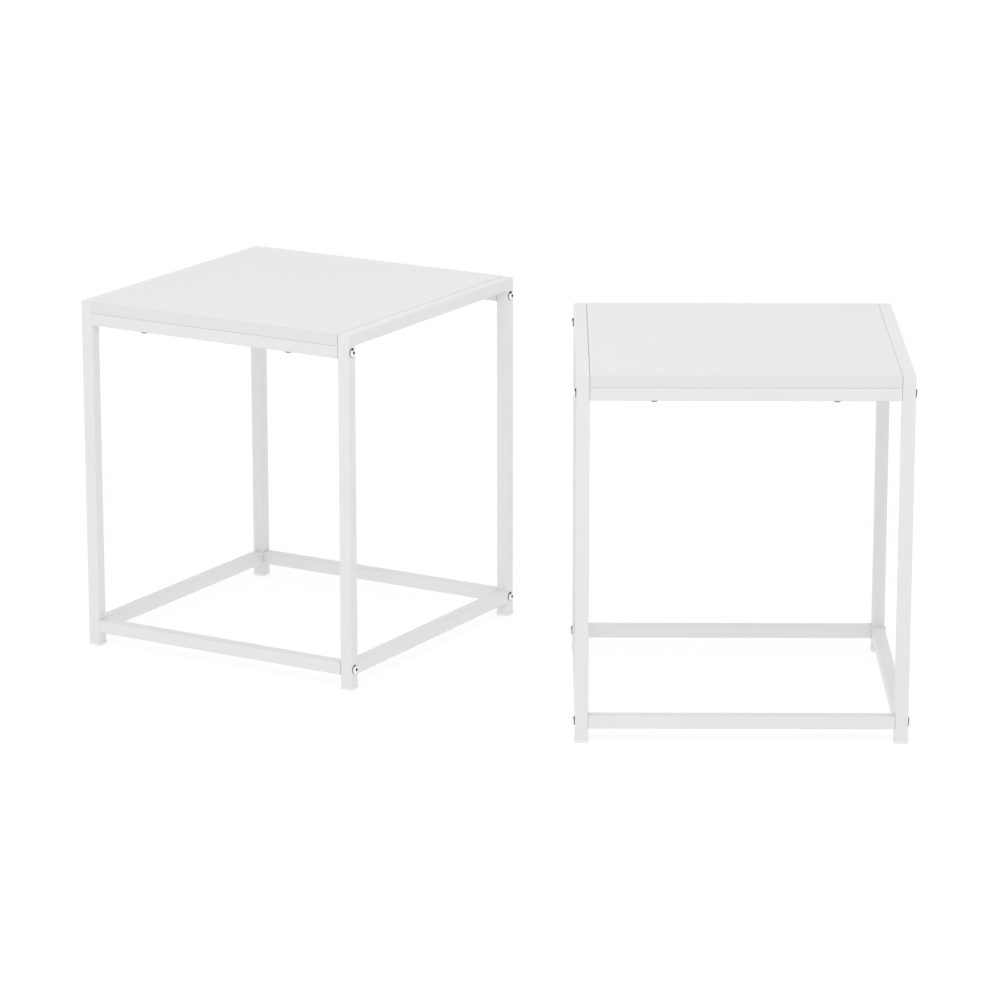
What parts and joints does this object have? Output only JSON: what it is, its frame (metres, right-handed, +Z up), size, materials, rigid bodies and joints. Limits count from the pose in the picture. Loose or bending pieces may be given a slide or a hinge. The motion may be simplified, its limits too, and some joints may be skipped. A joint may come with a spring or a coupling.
{
  "type": "side table set",
  "caption": "Matching square side tables with slim white square-tube cube frames, rails round the base and flush board tops, bolted together at the legs.",
  "frame": {"origin": "on the floor, at the middle of the bounding box of the two tables as they stand", "axes": "+X to the right along the pair's longer side, +Y to the rear, +Z up; the right-hand table is square to the axes and the left-hand one is turned 30 degrees clockwise seen from above"},
  "size_m": [1.0264, 0.7566, 0.454],
  "materials": {
    "frame_enamel": "satin white powder coat",
    "board_laminate": "white melamine-faced particle board",
    "edge_band": "white edge band",
    "bright_screws": "bright nickel plate",
    "plain_steel": "zinc-plated steel",
    "foot_plastic": "moulded off-white plastic"
  },
  "bodies": {
    "left_table": {"left_table_board": "board_laminate", "left_table_board_screws": "bright_screws", "left_table_foot_caps": "foot_plastic", "left_table_frame_bolts": "bright_screws", "left_table_front_edge_band": "edge_band", "left_table_front_lower_cross_rail": "frame_enamel", "left_table_front_upper_cross_rail": "frame_enamel", "left_table_left_edge_band": "edge_band", "left_table_left_front_leg": "frame_enamel", "left_table_left_lower_side_rail": "frame_enamel", "left_table_left_rear_leg": "frame_enamel", "left_table_left_upper_side_rail": "frame_enamel", "left_table_rail_plugs": "plain_steel", "left_table_rear_edge_band": "edge_band", "left_table_rear_lower_cross_rail": "frame_enamel", "left_table_rear_upper_cross_rail": "frame_enamel", "left_table_right_edge_band": "edge_band", "left_table_right_front_leg": "frame_enamel", "left_table_right_lower_side_rail": "frame_enamel", "left_table_right_rear_leg": "frame_enamel", "left_table_right_upper_side_rail": "frame_enamel"},
    "right_table": {"right_table_board": "board_laminate", "right_table_board_screws": "bright_screws", "right_table_foot_caps": "foot_plastic", "right_table_frame_bolts": "bright_screws", "right_table_front_edge_band": "edge_band", "right_table_front_lower_cross_rail": "frame_enamel", "right_table_front_upper_cross_rail": "frame_enamel", "right_table_left_edge_band": "edge_band", "right_table_left_front_leg": "frame_enamel", "right_table_left_lower_side_rail": "frame_enamel", "right_table_left_rear_leg": "frame_enamel", "right_table_left_upper_side_rail": "frame_enamel", "right_table_rail_plugs": "plain_steel", "right_table_rear_edge_band": "edge_band", "right_table_rear_lower_cross_rail": "frame_enamel", "right_table_rear_upper_cross_rail": "frame_enamel", "right_table_right_edge_band": "edge_band", "right_table_right_front_leg": "frame_enamel", "right_table_right_lower_side_rail": "frame_enamel", "right_table_right_rear_leg": "frame_enamel", "right_table_right_upper_side_rail": "frame_enamel"}
  },
  "joints": [
    {"name": "right_table_slide", "type": "slide", "parent": "left_table", "child": "right_table", "axis": [1, 0, 0], "range_m": [-0.16, 0.3]}
  ]
}
